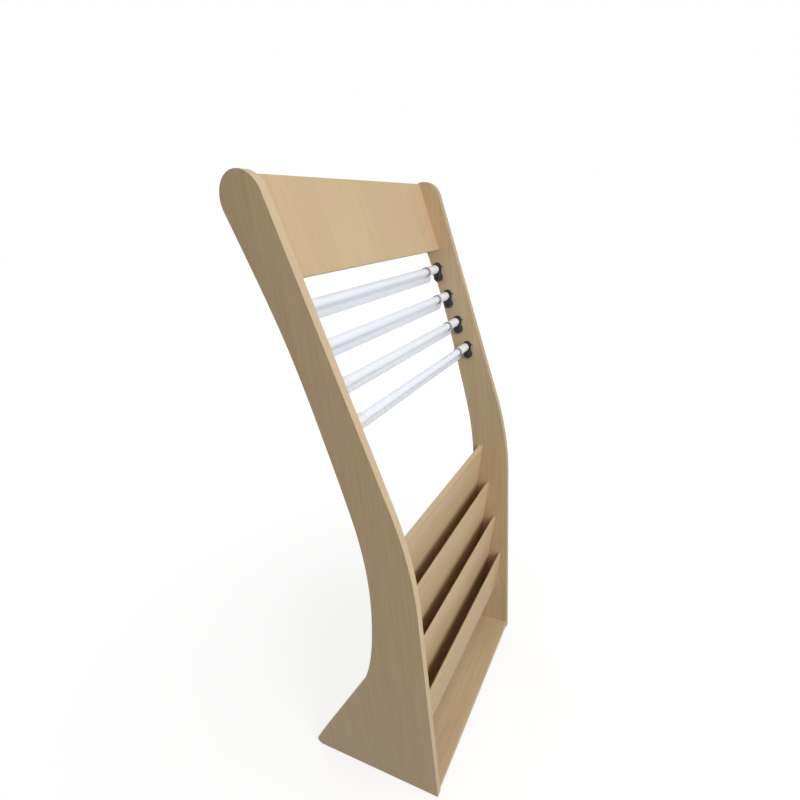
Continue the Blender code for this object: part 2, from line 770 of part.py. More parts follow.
def make_clips():
    left_start = -JAW_END - SEAT
    pieces = (
        ("spine", spine_mesh(), "aluminium"),
        ("jaw", jaw_mesh(), "aluminium"),
        ("right_grip", grip_mesh("right_grip", GRIP_START, 0.0), "white_plastic"),
        ("left_grip", mirrored(grip_mesh("left_grip", -left_start, COLLAR_L), "left"), "white_plastic"),
        ("collar", collar_mesh(), "grey_plastic"),
        ("spring", spring_mesh(), "steel"),
    )
    for n in range(CLIPS):
        axis = bpy.data.objects.new(f"clip_{n + 1}_axis", None)
        RACK.objects.link(axis)
        axis.parent = CENTRE
        axis.location = (0, *hook_place(n))
        axis.rotation_euler.x = radians(CLIP_TILT)
        for word, mesh, finish_name in pieces:
            piece(f"clip_{n + 1}_{word}", mesh, finish_name, axis, smooth=True)


make_side_panels()
make_header()
make_pockets()
make_base()
make_hooks()
make_clips()
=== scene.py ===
# %% [markdown]
# # A book and magazine rack for a reading room
# The rack stands on two bent side panels in beech-coloured laminate. Between them it has a header board,
# three slanted pockets and a base board, and four newspaper clips hang across it on black hooks. The packed
# model gives the place and size of every piece. This lesson models each piece but the springs again with
# finer edges, and gives every piece its finish.

from math import cos, pi, radians, sin, sqrt, tan

import bmesh
import bpy
from mathutils import Matrix, Vector


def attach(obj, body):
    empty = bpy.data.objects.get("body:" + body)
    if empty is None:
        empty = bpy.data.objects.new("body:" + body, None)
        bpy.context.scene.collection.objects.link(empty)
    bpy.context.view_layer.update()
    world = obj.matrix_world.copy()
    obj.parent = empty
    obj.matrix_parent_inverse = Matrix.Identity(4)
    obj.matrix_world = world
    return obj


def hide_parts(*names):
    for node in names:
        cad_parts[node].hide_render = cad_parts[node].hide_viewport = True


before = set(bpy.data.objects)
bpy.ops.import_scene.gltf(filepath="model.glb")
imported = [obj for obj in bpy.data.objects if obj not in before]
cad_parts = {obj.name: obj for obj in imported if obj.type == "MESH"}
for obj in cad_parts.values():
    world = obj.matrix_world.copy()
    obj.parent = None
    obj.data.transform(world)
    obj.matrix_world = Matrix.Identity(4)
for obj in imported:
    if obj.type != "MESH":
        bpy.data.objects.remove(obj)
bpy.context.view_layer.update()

# %% [markdown]
# ## Camera
# The camera stands to the left of the rack, a little over a step away and just below its top, and looks
# down and to the right. A short lens that near makes the left panel loom and the right one shrink. The
# three directions below are its right, its up and the way that it looks. FOCAL and LENS_AXIS are in pixels
# of the frame, and the shift puts the lens axis off the middle, as on a cropped photograph.

# %% Camera
DEPTH = 0.434
FRAME_SIDE = 800
FOCAL = 460.19
LENS_AXIS = (463.85, 434.93)
SENSOR = 36
CAMERA_SPOT = Vector((-0.9841, -0.414 - DEPTH / 2, 1.559))
CAMERA_RIGHT = Vector((0.3824, -0.9232, -0.0379))
CAMERA_UP = Vector((0.4189, 0.1367, 0.8976))
CAMERA_AHEAD = Vector((0.8235, 0.3592, -0.4390))

bpy.ops.object.camera_add()
camera = bpy.context.object
camera.name = "camera"
axes = Matrix((CAMERA_RIGHT, CAMERA_UP, -CAMERA_AHEAD)).transposed().to_4x4()
camera.matrix_world = Matrix.Translation(CAMERA_SPOT) @ axes
camera.data.sensor_width = SENSOR
camera.data.lens = FOCAL / FRAME_SIDE * SENSOR
camera.data.shift_x = (FRAME_SIDE / 2 - LENS_AXIS[0]) / FRAME_SIDE
camera.data.shift_y = (LENS_AXIS[1] - FRAME_SIDE / 2) / FRAME_SIDE
camera.data.clip_start = 0.01
bpy.context.scene.camera = camera
bpy.context.scene.view_settings.view_transform = "Standard"
print("lens", round(camera.data.lens, 2), "mm")

# %% [markdown]
# ## Studio
# Product photographs like this one are taken against white. The world looks white to the camera and in
# reflections, and lights the rack only softly. The first helpers below save typing whenever a node or a
# selection is needed, and the last one tells the rays that show the white from those that only light.

# %% Small helpers for scenes and nodes
def linear(red, green, blue):
    """A colour given on a 0 to 255 scale, as the shader wants it."""
    shares = [v / 255 for v in (red, green, blue)]
    return tuple(v / 12.92 if v <= 0.04045 else ((v + 0.055) / 1.055) ** 2.4 for v in shares) + (1.0,)


def node(tree, kind, inputs=None, **settings):
    """A new node; inputs maps socket names or numbers to values or to the sockets that feed them."""
    made = tree.nodes.new("ShaderNode" + kind)
    for key, value in settings.items():
        setattr(made, key, value)
    for key, value in (inputs or {}).items():
        if isinstance(value, bpy.types.NodeSocket):
            tree.links.new(value, made.inputs[key])
        else:
            made.inputs[key].default_value = value
    return made


def spread(tree, value, before, after):
    """Maps the range before evenly onto the range after, and holds the value at its ends."""
    ends = {"From Min": before[0], "From Max": before[1], "To Min": after[0], "To Max": after[1]}
    return node(tree, "MapRange", {"Value": value, **ends}).outputs[0]


def only(*chosen):
    """Leaves edit mode and selects just these objects; the first is active."""
    if bpy.context.mode != "OBJECT":
        bpy.ops.object.mode_set(mode="OBJECT")
    bpy.ops.object.select_all(action="DESELECT")
    for obj in chosen:
        obj.select_set(True)
    bpy.context.view_layer.objects.active = chosen[0] if chosen else None


# %% What shows the white around the rack
def seen_directly(tree):
    """1 for rays from the camera and those that a shiny or clear surface sends on, 0 for the rest."""
    path = node(tree, "LightPath").outputs
    first = node(tree, "Math", {0: path["Is Camera Ray"], 1: path["Is Glossy Ray"]}, operation="MAXIMUM")
    rays = {0: first.outputs[0], 1: path["Is Transmission Ray"]}
    return node(tree, "Math", rays, operation="MAXIMUM").outputs[0]


# %% World
AMBIENT = 0.355
WARM_WHITE = (1.0, 0.985, 0.96, 1.0)
WHITE = (1.0, 1.0, 1.0, 1.0)

world = bpy.data.worlds.new("studio")
bpy.context.scene.world = world
world.use_nodes = True
tree = world.node_tree
tree.nodes.clear()
soft = node(tree, "Background", {"Color": WARM_WHITE, "Strength": AMBIENT}).outputs[0]
white = node(tree, "Background", {"Color": WHITE, "Strength": 1.0}).outputs[0]
mix = node(tree, "MixShader", {0: seen_directly(tree), 1: soft, 2: white}).outputs[0]
node(tree, "OutputWorld", {0: mix})
print("world", world.name, "ambient", AMBIENT)

# %% [markdown]
# ## Floor
# The floor is a sheet of pale paper that runs on to the horizon. Matt paper alone would look grey, because
# the lamps only reach its middle. So a glow is added that shows in the picture and in reflections but
# lights nothing. It is weaker near the rack, where the lamps light the paper and the rack's faint shadow
# falls, and stronger far away.

# %% Floor
FLOOR_SIZE = 60
FLOOR_DROP = 0.0004
FLOOR_TONE = 0.36
GLOW_REACH = (0.5, 3.0)
GLOW_STRENGTH = (0.74, 0.90)

only()
bpy.ops.mesh.primitive_plane_add(size=FLOOR_SIZE, location=(0, 0, -FLOOR_DROP))
floor = bpy.context.object
floor.name = "floor"
paper = bpy.data.materials.new("studio_paper")
paper.use_nodes = True
tree = paper.node_tree
tree.nodes.clear()
place = node(tree, "TexCoord").outputs["Object"]
away = node(tree, "VectorMath", {0: place}, operation="LENGTH").outputs["Value"]
glows = spread(tree, away, GLOW_REACH, GLOW_STRENGTH)
level = node(tree, "Math", {0: seen_directly(tree), 1: glows}, operation="MULTIPLY").outputs[0]
glow = node(tree, "Emission", {"Color": WHITE, "Strength": level}).outputs[0]
matt = node(tree, "BsdfDiffuse", {"Color": (FLOOR_TONE, FLOOR_TONE, FLOOR_TONE, 1.0)}).outputs[0]
both = node(tree, "AddShader", {0: matt, 1: glow}).outputs[0]
node(tree, "OutputMaterial", {0: both})
floor.data.materials.append(paper)
print("floor", FLOOR_SIZE, "m wide")

# %% [markdown]
# ## Lamps
# Large lamps give soft shadows. A window on the left and two lamps, in front and overhead, make the header
# and the front edges bright and leave the outer face of the left panel a tone darker. A weak one behind
# keeps the rear readable. Their powers are low enough that the pale clips don't burn out to white.

# %% Lamps
RACK_MIDDLE = (0, 0, 0.9)


def lamp(name, watts, size, spot, target=RACK_MIDDLE):
    """A round lamp at a spot, turned towards its target."""
    only()
    bpy.ops.object.light_add(type="AREA", location=spot)
    made = bpy.context.object
    made.name = name
    made.data.shape = "DISK"
    made.data.size = size
    made.data.energy = watts
    aim = Vector(target) - Vector(spot)
    made.rotation_euler = aim.to_track_quat("-Z", "Y").to_euler()
    return made


lamp("window", 40, 1.8, (-1.6, -2.8, 2.4))
lamp("front_lamp", 24.5, 1.8, (0.0, -3.2, 1.5))
lamp("ceiling_lamp", 16.5, 1.8, (0.0, -0.8, 4.0))
lamp("back_lamp", 15, 2.0, (1.8, 2.8, 2.2), (0, 0, 0.8))

# %% [markdown]
# ## Beech laminate
# Furniture like this is chipboard with a printed beech face. Its figure has three scales: slow drifts of
# tone, long streaks of growth rings, and the short brown flecks that mark beech. All are noises stretched
# along the grain, and their sum moves the colour between two close tones. The face is nearly matt, with a
# slight embossing that follows the same figure. Each board reads the pattern at a place of its own, so no
# two match.

# %% Helpers for finishes
MIDDLING = (0.3, 0.7)  # most of a noise lies between these


def blank(name):
    """A new material, its node tree and its shader."""
    made = bpy.data.materials.new(name)
    made.use_nodes = True
    return made, made.node_tree, made.node_tree.nodes["Principled BSDF"]


def noise(tree, place, scale, detail, **more):
    """The value of a noise; more sets its Roughness or Distortion."""
    return node(tree, "TexNoise", {"Vector": place, "Scale": scale, "Detail": detail, **more}).outputs["Fac"]


def weighed(tree, total, value, weight):
    """Adds weight times the value's distance from one half to the running total."""
    centred = node(tree, "Math", {0: value, 1: 0.5}, operation="SUBTRACT").outputs[0]
    return node(tree, "Math", {0: centred, 1: weight, 2: total}, operation="MULTIPLY_ADD").outputs[0]


# %% Figure of the beech
GRAIN = {"X": (1.0, 9.0, 9.0), "Z": (9.0, 9.0, 1.0)}
FINER = 7.0
DRIFT, RINGS, STREAKS, FLECKS = 0.5, 0.6, 1.0, -0.32
FLECK_LEVELS = (0.62, 0.72)


def beech_figure(tree, place, along, depth):
    """The sum of the figure's noises, from 0 to 1, and its fine streaks by themselves."""
    wide = node(tree, "Mapping", {"Vector": place, "Scale": GRAIN[along]}).outputs[0]
    fine_scale = tuple(v if v == 1.0 else v * FINER for v in GRAIN[along])
    fine = node(tree, "Mapping", {"Vector": place, "Scale": fine_scale}).outputs[0]
    streaks = noise(tree, fine, 3.2, 6.0, Roughness=0.7)
    total = weighed(tree, 0.5, noise(tree, wide, 0.9, 2.0), DRIFT * depth)
    rings = noise(tree, wide, 2.4, 7.0, Roughness=0.62, Distortion=0.6)
    total = weighed(tree, total, rings, RINGS * depth)
    total = weighed(tree, total, streaks, STREAKS * depth)
    flecks = spread(tree, noise(tree, wide, 190.0, 1.0), FLECK_LEVELS, (0.0, 1.0))
    parts = {0: flecks, 1: FLECKS * depth, 2: total}
    return node(tree, "Math", parts, operation="MULTIPLY_ADD", use_clamp=True).outputs[0], streaks


# %% Laminate material
BEECH_DARK = linear(186, 157, 117)
BEECH_LIGHT = linear(225, 201, 164)
HUE_DRIFT = (0.494, 0.506)
LAMINATE_ROUGH = (0.46, 0.58)


def laminate(name, along, offset, lean=0.0, dark=BEECH_DARK, light=BEECH_LIGHT, depth=1.0):
    """Beech along X or Z; depth scales its contrast, and lean turns Z up a leaning board."""
    made, tree, shader = blank(name)
    place = node(tree, "TexCoord").outputs["Object"]
    turn = (radians(lean), 0, 0)
    place = node(tree, "Mapping", {"Vector": place, "Location": offset, "Rotation": turn}).outputs[0]
    figure, streaks = beech_figure(tree, place, along, depth)
    tone = node(tree, "Mix", {0: figure, 6: dark, 7: light}, data_type="RGBA").outputs[2]
    hue = spread(tree, noise(tree, place, 7.0, 2.0), MIDDLING, HUE_DRIFT)
    warmed = node(tree, "HueSaturation", {"Hue": hue, "Color": tone}).outputs[0]
    tree.links.new(warmed, shader.inputs["Base Color"])
    tree.links.new(spread(tree, streaks, MIDDLING, LAMINATE_ROUGH), shader.inputs["Roughness"])
    shader.inputs["Specular IOR Level"].default_value = 0.35
    lifted = node(tree, "Bump", {"Height": figure, "Strength": 0.25, "Distance": 0.00025}).outputs[0]
    tree.links.new(lifted, shader.inputs["Normal"])
    return made


# %% Laminates of the rack
HEADER_LEAN = 16.0
BOARDS = {
    "left_side_panel": ("Z", (0.37, 1.9, 0.4)),
    # The right panel takes lighter beech tones than the rest: painted light on its inner face, which the
    # lamps reach less.
    "right_side_panel": ("Z", (4.1, 0.6, 2.2), 0.0, linear(190, 162, 122), linear(229, 206, 170)),
    "header_board": ("Z", (0.9, 2.4, 3.3), HEADER_LEAN, BEECH_DARK, BEECH_LIGHT, 0.55),
    "back_board": ("X", (2.6, 5.2, 1.1)),
    "pocket_board_1": ("X", (5.1, 0.3, 4.7)),
    "pocket_board_2": ("X", (7.4, 3.9, 2.9)),
    "pocket_front": ("X", (1.2, 7.7, 6.1)),
    "pocket_floor_1": ("X", (6.3, 1.4, 7.9)),
    "pocket_floor_2": ("X", (3.8, 6.6, 0.2)),
    "pocket_floor_3": ("X", (8.5, 4.2, 5.5)),
    "base_board": ("X", (4.9, 8.8, 1.6)),
}
PALE_BAND = (linear(200, 175, 138), linear(222, 199, 163), 0.7)
# The right panel's edge band is a darker copy of the pale band: painted shade for the light that fades
# towards the far panel.
SHADED_RIGHT_BAND = (linear(184, 160, 126), linear(206, 184, 150), 0.7)

FACES = {board: laminate(board + "_laminate", *reading) for board, reading in BOARDS.items()}
BANDS = {
    "left": laminate("left_edge_band", "Z", (2.0, 0.7, 5.0), 0.0, *PALE_BAND),
    "right": laminate("right_edge_band_painted_shade", "Z", (6.0, 3.1, 0.9), 0.0, *SHADED_RIGHT_BAND),
    "boards": laminate("board_edge_band", "X", (3.3, 9.2, 1.8), 0.0, *PALE_BAND),
}
print("laminates", len(FACES), "edge bands", len(BANDS))

# %% [markdown]
# ## Tools for modelling
# Most pieces start from a primitive at its own place and size. Parts of it are then selected in code, by
# where they lie or which way they face, and shaped in edit mode. These few helpers keep the later cells
# short.

# %% Primitives in their place
ROUND_SIDES = 64


def settled(name):
    """Names the active object and moves its place, turn and scale into its mesh."""
    made = bpy.context.object
    made.name = name
    made.data.name = name
    only(made)
    bpy.ops.object.transform_apply(location=True, rotation=True, scale=True)
    return made


def cylinder(name, radius, start, end, at=(0.0, 0.0), sides=ROUND_SIDES):
    """A closed cylinder along X."""
    only()
    spot = ((start + end) / 2, *at)
    bpy.ops.mesh.primitive_cylinder_add(
        vertices=sides, radius=radius, depth=end - start, location=spot, rotation=(0, pi / 2, 0)
    )
    return settled(name)


def box(name, size, spot, turn=0.0):
    """A cube scaled to its size, turned about X and set in its place."""
    only()
    bpy.ops.mesh.primitive_cube_add(size=1, location=spot, rotation=(turn, 0, 0), scale=size)
    return settled(name)


# %% Selecting by a test
def select(obj, kind, test):
    """Edit mode, with just the vertices, edges or faces selected that pass the test."""
    only(obj)
    bpy.ops.object.mode_set(mode="EDIT")
    bpy.ops.mesh.select_mode(type=kind)
    bpy.ops.mesh.select_all(action="DESELECT")
    shape = bmesh.from_edit_mesh(obj.data)
    parts = {"VERT": shape.verts, "EDGE": shape.edges, "FACE": shape.faces}[kind]
    chosen = [part for part in parts if test(part)]
    for part in chosen:
        part.select_set(True)
    shape.select_flush_mode()
    bmesh.update_edit_mesh(obj.data)
    return len(chosen)


def done():
    bpy.ops.object.mode_set(mode="OBJECT")


def looks_right(face):
    return face.normal.x > 0.9


def looks_left(face):
    return face.normal.x < -0.9


# %% Modifiers and copies
def apply(obj, kind, **settings):
    """Adds a modifier and applies it."""
    only(obj)
    modifier = obj.modifiers.new(kind.lower(), kind)
    for key, value in settings.items():
        setattr(modifier, key, value)
    bpy.ops.object.modifier_apply(modifier=modifier.name)


def combine(obj, others, operation="DIFFERENCE"):
    """Cuts the others out of a piece, or joins them to it, and removes them."""
    for other in others:
        apply(obj, "BOOLEAN", operation=operation, object=other, solver="EXACT")
        bpy.data.objects.remove(other, do_unlink=True)


def eased(obj, width, segments=3, angle=40):
    """Rounds all edges that are sharper than the angle."""
    apply(obj, "BEVEL", width=width, segments=segments, limit_method="ANGLE", angle_limit=radians(angle))


def smoothed(obj, angle=35):
    only(obj)
    bpy.ops.object.shade_smooth_by_angle(angle=radians(angle))


def copied(obj, name, matrix):
    """The piece again, with a mesh of its own, moved or mirrored."""
    made = obj.copy()
    made.data = obj.data.copy()
    made.name = name
    made.data.name = name
    bpy.context.scene.collection.objects.link(made)
    made.data.transform(matrix)
    if matrix.determinant() < 0:
        made.data.flip_normals()
    return made


# %% [markdown]
# ## Outlines
# The side panels, the hooks and the jaws of the clips are all one flat outline with a thickness. Such a
# shape is drawn as a closed Bezier curve. Each knot holds its place and the headings of the curve before
# and after it, and a missing heading leaves that side straight. The reach of the handles makes a stretch
# between two headings a true arc. The curve is filled, given its thickness, and turned into a mesh.

# %% Knots of an outline
def heading(angle):
    return Vector((cos(radians(angle)), sin(radians(angle))))


def arc(centre, radius, start, end, count):
    """Knots round an arc; angles run from the back over the top."""
    side = 90 if end > start else -90
    knots = []
    for i in range(count):
        angle = start + (end - start) * i / (count - 1)
        y, z = Vector(centre) + radius * heading(angle)
        knots.append((y, z, angle + side, angle + side))
    return knots


def ends_sharp(knots):
    """The same arc, with straight lines arriving at it and leaving it."""
    first, last = knots[0], knots[-1]
    return [(first[0], first[1], None, first[3]), *knots[1:-1], (last[0], last[1], last[2], None)]


def corner(y, z):
    return (y, z, None, None)


def bend_between(point, knot, next_point, next_knot):
    """Sets the two handles between a pair of knots so that the stretch is an arc."""
    here, there = Vector(knot[:2]), Vector(next_knot[:2])
    turn = (next_knot[2] - knot[3] + 180) % 360 - 180
    reach = (there - here).length / (3 * cos(radians(turn) / 4) ** 2)
    point.handle_right = (here + reach * heading(knot[3])).to_3d()
    next_point.handle_left = (there - reach * heading(next_knot[2])).to_3d()


# %% Outline helper
WELD = 0.000005
X_FROM_Z = Matrix(((0, 0, 1, 0), (1, 0, 0, 0), (0, 1, 0, 0), (0, 0, 0, 1)))


def outline(name, knots, start, end, steps):
    """A closed outline in y and z that reaches from one x to another."""
    only()
    bpy.ops.curve.primitive_bezier_circle_add()
    drawn = bpy.context.object
    curve = drawn.data
    curve.dimensions = "2D"
    curve.fill_mode = "BOTH"
    curve.extrude = (end - start) / 2
    curve.resolution_u = steps
    points = curve.splines[0].bezier_points
    points.add(len(knots) - len(points))
    for knot, point in zip(knots, points):
        point.handle_left_type = "VECTOR" if knot[2] is None else "FREE"
        point.handle_right_type = "VECTOR" if knot[3] is None else "FREE"
        point.co = (knot[0], knot[1], 0)
    for i, knot in enumerate(knots):
        j = (i + 1) % len(knots)
        if knot[3] is not None:
            bend_between(points[i], knot, points[j], knots[j])
    only(drawn)
    bpy.ops.object.convert(target="MESH")
    made = settled(name)
    bpy.ops.object.mode_set(mode="EDIT")
    bpy.ops.mesh.select_all(action="SELECT")
    bpy.ops.mesh.remove_doubles(threshold=WELD)
    done()
    made.data.transform(Matrix.Translation(((start + end) / 2, 0, 0)) @ X_FROM_Z)
    return made


# %% [markdown]
# ## Side panels
# Each panel is 18 mm board, sawn to a long bent outline: the front edge stands upright below and curves
# back above, the top is round, and the rear edge narrows to a waist and flares out to the foot. The knots
# repeat that outline in y, measured back from the foot of the front edge, and z. UPPER_REAR holds a share
# of the height above the waist, the panel's width there and its lean. LOWER_REAR holds y, z and the lean.

# %% Sizes of a panel
WIDTH = 0.680
HEIGHT = 1.633
PANEL_T = 0.018
INNER = WIDTH / 2 - PANEL_T
SEAT = 0.0003  # play between two pieces
PAST = 0.002  # how far a cutter reaches past a face
EASE = 0.0009
UPRIGHT = 0.735
FRONT_R = 1.040
FRONT_LEAN = 15.7
CURVE_END = UPRIGHT + FRONT_R * sin(radians(FRONT_LEAN))
TOP_R = 0.047
TOP_REAR_LEAN = 19.5
WAIST = (0.1230, 0.8047)
UPPER_REAR = ((0.747, 0.0859, 17.0), (0.470, 0.0945, 11.7), (0.216, 0.1101, 10.0))
LOWER_REAR = ((0.1416, 0.6008, -9.5), (0.1833, 0.4456, -23.0), (0.2237, 0.3759, -30.8))
FOOT_LEAN = -30.3
FOOT_R = 0.020
CENTRED = Matrix.Translation((0, -DEPTH / 2, 0))


def front_edge(z):
    """How far back the front edge of the panels lies at a height."""
    lean = radians(FRONT_LEAN)
    if z <= UPRIGHT:
        return 0.0
    if z < CURVE_END:
        return FRONT_R - sqrt(FRONT_R**2 - (z - UPRIGHT) ** 2)
    return FRONT_R * (1 - cos(lean)) + (z - CURVE_END) * tan(lean)


print("front edge at the top", round(front_edge(HEIGHT), 4))

# %% Outline of a panel
def panel_knots():
    """Up the front edge, over the top, down the rear edge and round the foot."""
    top_z = HEIGHT - TOP_R
    top_centre = (front_edge(top_z) + TOP_R / cos(radians(FRONT_LEAN)), top_z)
    top = arc(top_centre, TOP_R, 180 - FRONT_LEAN, -TOP_REAR_LEAN, 3)
    knots = [corner(0.0, 0.0), (0.0, UPRIGHT, None, 90.0)]
    knots.append((front_edge(CURVE_END), CURVE_END, 90 - FRONT_LEAN, None))
    knots.append((top[0][0], top[0][1], None, top[0][3]))
    knots += top[1:]
    waist_y, waist_z = WAIST
    for share, width, tilt in UPPER_REAR:
        z = waist_z + share * (top[2][1] - waist_z)
        knots.append((front_edge(z) + width, z, -90 - tilt, -90 - tilt))
    knots.append((waist_y, waist_z, -90.0, -90.0))
    knots += [(y, z, -90 - tilt, -90 - tilt) for y, z, tilt in LOWER_REAR]
    foot = arc((DEPTH - FOOT_R, FOOT_R), FOOT_R, -FOOT_LEAN, -90, 3)
    return knots + foot[:2] + [(foot[2][0], foot[2][1], foot[2][2], None)]


print("panel knots", len(panel_knots()))

# %% [markdown]
# ## Where the hooks go
# Four pairs of hooks are screwed to the inner faces of the panels, one pair below the other in a slanting
# row. Each needs two holes in the panel: one for its screw, and one for the peg that keeps it from turning.
# The places are worked out here, because the panels are drilled before the hooks exist.

# %% Places of the hooks
HOOK_DROP = 0.2300
HOOK_RECESS = 0.0759
HOOK_PITCH = 0.0816
HOOK_LEAN = 20.8
SCREW_AT = (-0.0090, -0.0240)
SCREW_HOLE_R = 0.00205
SCREW_HOLE_DEPTH = 0.0116
PEG_AT = (-0.0040, 0.0095)
PEG_HOLE_R = 0.0028
PEG_HOLE_DEPTH = 0.0056


def hook_place(n):
    """y and z of the axis of clip n, from 0 at the top."""
    z = HEIGHT - HOOK_DROP
    step = n * HOOK_PITCH
    lean = radians(HOOK_LEAN)
    return front_edge(z) + HOOK_RECESS - step * sin(lean), z - step * cos(lean)


def drills(side):
    """Cylinders for the holes of one panel, from just inside its inner face."""
    holes = ((SCREW_AT, SCREW_HOLE_R, SCREW_HOLE_DEPTH), (PEG_AT, PEG_HOLE_R, PEG_HOLE_DEPTH))
    made = []
    for n in range(4):
        y, z = hook_place(n)
        for (dy, dz), radius, depth in holes:
            near, far = sorted((side * (INNER - PAST), side * (INNER + depth)))
            made.append(cylinder("drill", radius, near, far, (y + dy, z + dz), 24))
    return made


print("clip axes", [tuple(round(v, 4) for v in hook_place(n)) for n in range(4)])

# %% [markdown]
# ## Cutting and banding the panels
# A sawn edge is hidden by a thin strip of plastic that is glued on and rounded at its corners. So the edge
# gets a small bevel, the faces that look sideways get the laminate, and the rest get the paler band.
# Weighted normals keep the big faces flat beside the bevel.

# %% Side panels
BROAD = 0.8  # a face of the board looks at least this much sideways

for word, side in (("left", -1), ("right", 1)):
    name = word + "_side_panel"
    start, end = sorted((side * INNER, side * WIDTH / 2))
    panel = outline(name + "_new", panel_knots(), start, end, 20)
    eased(panel, EASE)
    combine(panel, drills(side))
    panel.data.transform(CENTRED)
    panel.data.materials.append(FACES[name])
    panel.data.materials.append(BANDS[word])
    for face in panel.data.polygons:
        face.material_index = 0 if abs(face.normal.x) > BROAD else 1
    smoothed(panel, 30)
    apply(panel, "WEIGHTED_NORMAL", keep_sharp=True)
    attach(panel, "rack")
    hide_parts(name)
    print(name, len(panel.data.polygons), "faces")

# %% [markdown]
# ## Boards between the panels
# The header, the back board, the pocket boards, their floors and the base are straight boards, so each
# starts as a cube of its real size, turned to its lean. A small rounded bevel stands for the edge band, and
# the long edges get the band's own finish. Two directions describe a board from the side: up along its
# height, and back through its thickness.

# %% Straight boards
SPAN = 2 * (INNER - SEAT)


def up_and_back(lean):
    angle = radians(lean)
    return Vector((sin(angle), cos(angle))), Vector((cos(angle), -sin(angle)))


def board(name, middle, height, thickness, lean):
    """A board from panel to panel; middle is the y and z of its centre."""
    spot = (0, middle.x - DEPTH / 2, middle.y)
    made = box(name + "_new", (SPAN, thickness, height), spot, radians(-lean))
    eased(made, EASE)
    return made


def faced(made, name, lean):
    """Laminate on the two faces of a board, band on its edges."""
    back = Vector((0, *up_and_back(lean)[1]))
    made.data.materials.append(FACES[name])
    made.data.materials.append(BANDS["boards"])
    for face in made.data.polygons:
        face.material_index = 0 if abs(face.normal.dot(back)) > BROAD else 1
    smoothed(made, 40)
    apply(made, "WEIGHTED_NORMAL", keep_sharp=True)
    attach(made, "rack")
    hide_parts(name)
    print(name, [round(v, 3) for v in made.dimensions])


# %% [markdown]
# ## Pockets
# Four boards stand one before the other and make three pockets for magazines. All lean forward at the top
# by the same angle, so that a magazine slides down behind the board and stays open to view. Each is placed
# by the front corner of its top edge. A floor closes each pocket, fitted between the boards.

# %% Sizes of the pockets
POCKET_LEAN = -9.2
POCKET_T = 0.009
BACK_T = 0.015
BACK_TOP = Vector((0.0859, 0.8307))
POCKET_TOPS = [Vector((0.0651, 0.6884)), Vector((0.0431, 0.5433)), Vector((0.0212, 0.3817))]
POCKET_H = 0.181

up, back = up_and_back(POCKET_LEAN)
tops = [BACK_TOP, *POCKET_TOPS]
floors = [top.dot(up) - POCKET_H for top in POCKET_TOPS]
print("slots", [round((a - b).dot(back) - POCKET_T, 4) for a, b in zip(tops, POCKET_TOPS)])

# %% Pockets
names = ("back_board", "pocket_board_1", "pocket_board_2", "pocket_front")
for i, (name, thickness) in enumerate(zip(names, (BACK_T, POCKET_T, POCKET_T, POCKET_T))):
    height = tops[i].dot(up) - floors[min(i, 2)]
    middle = tops[i] - up * height / 2 + back * thickness / 2
    faced(board(name, middle, height, thickness, POCKET_LEAN), name, POCKET_LEAN)
for i, level in enumerate(floors):
    rear, front = tops[i], tops[i + 1]
    clear = (rear - front).dot(back) - POCKET_T
    middle = up * (level + POCKET_T / 2) + back * (front.dot(back) + POCKET_T + clear / 2)
    name = f"pocket_floor_{i + 1}"
    shelf = board(name, middle, POCKET_T, clear - 2 * SEAT, POCKET_LEAN)
    faced(shelf, name, POCKET_LEAN + 90)

# %% [markdown]
# ## Cam fittings
# Flat-pack furniture is held together by cams: zinc barrels let into a board near its ends, turned by a
# screwdriver to pull in the bolts of the side panels. One barrel is modelled with its rim, its crossed
# slots and the small arrow that shows the open position. The rim comes from an inset of the end face, and
# the rest is cut out.

# %% One cam
CAM_R = 0.0075
CAM_L = 0.012
CAM_RIM = 0.0012
CAM_SINK = 0.0004
CAM_SLOT_DEEP, CAM_SLOT_LONG, CAM_SLOT_WIDE = 0.0040, 0.0096, 0.0013
ARROW_R = 0.0008
ARROW_AT = 0.0032
CAM_EASE = 0.0003

cam = cylinder("cam", CAM_R, -CAM_L, 0.0)
rim_faces = select(cam, "FACE", looks_right)
bpy.ops.mesh.inset(thickness=CAM_RIM)
bpy.ops.mesh.extrude_region_move(TRANSFORM_OT_translate={"value": (-CAM_SINK, 0, 0)})
done()
slots = [
    box("slot", (CAM_SLOT_DEEP, CAM_SLOT_LONG, CAM_SLOT_WIDE), (0, 0, 0)),
    box("slot", (CAM_SLOT_DEEP, CAM_SLOT_WIDE, CAM_SLOT_LONG), (0, 0, 0)),
]
combine(cam, slots)
only()
bpy.ops.mesh.primitive_cone_add(
    vertices=3,
    radius1=ARROW_R,
    radius2=ARROW_R,
    depth=ARROW_R,
    location=(-CAM_SINK / 2, 0, 0),
    rotation=(0, pi / 2, 0),
)
arrow = settled("arrow")
arrow.data.transform(Matrix.Translation((0, ARROW_AT, ARROW_AT)))
combine(cam, [arrow])
eased(cam, CAM_EASE, 2, 50)
smoothed(cam, 40)
print("cam", len(cam.data.polygons), "faces, rim", rim_faces)

# %% [markdown]
# ## Header and base
# The header leans back with the panels, and the base lies just above the floor. Both take two cams at each
# end, where no one looks: in the back of the header and under the base. For every cam a round hole is cut,
# a seat wider than the barrel, and the same matrix later puts the barrel in it.

# %% Header and base
HEADER_H = 0.1775
HEADER_DROP = 0.0042
HEADER_RECESS = 0.0473
BASE_TOP = 0.030
BASE_DEPTH = 0.300
BASE_T = 0.018

header_up, header_back = up_and_back(HEADER_LEAN)
header_top = Vector((front_edge(HEIGHT - HEADER_DROP) + HEADER_RECESS, HEIGHT - HEADER_DROP))
header_middle = header_top - header_up * HEADER_H / 2 + header_back * PANEL_T / 2
header = board("header_board", header_middle, HEADER_H, PANEL_T, HEADER_LEAN)
base_middle = Vector((BASE_DEPTH / 2, BASE_TOP - BASE_T / 2))
base = board("base_board", base_middle, BASE_T, BASE_DEPTH, 0.0)
print("header middle", [round(v, 4) for v in header_middle])

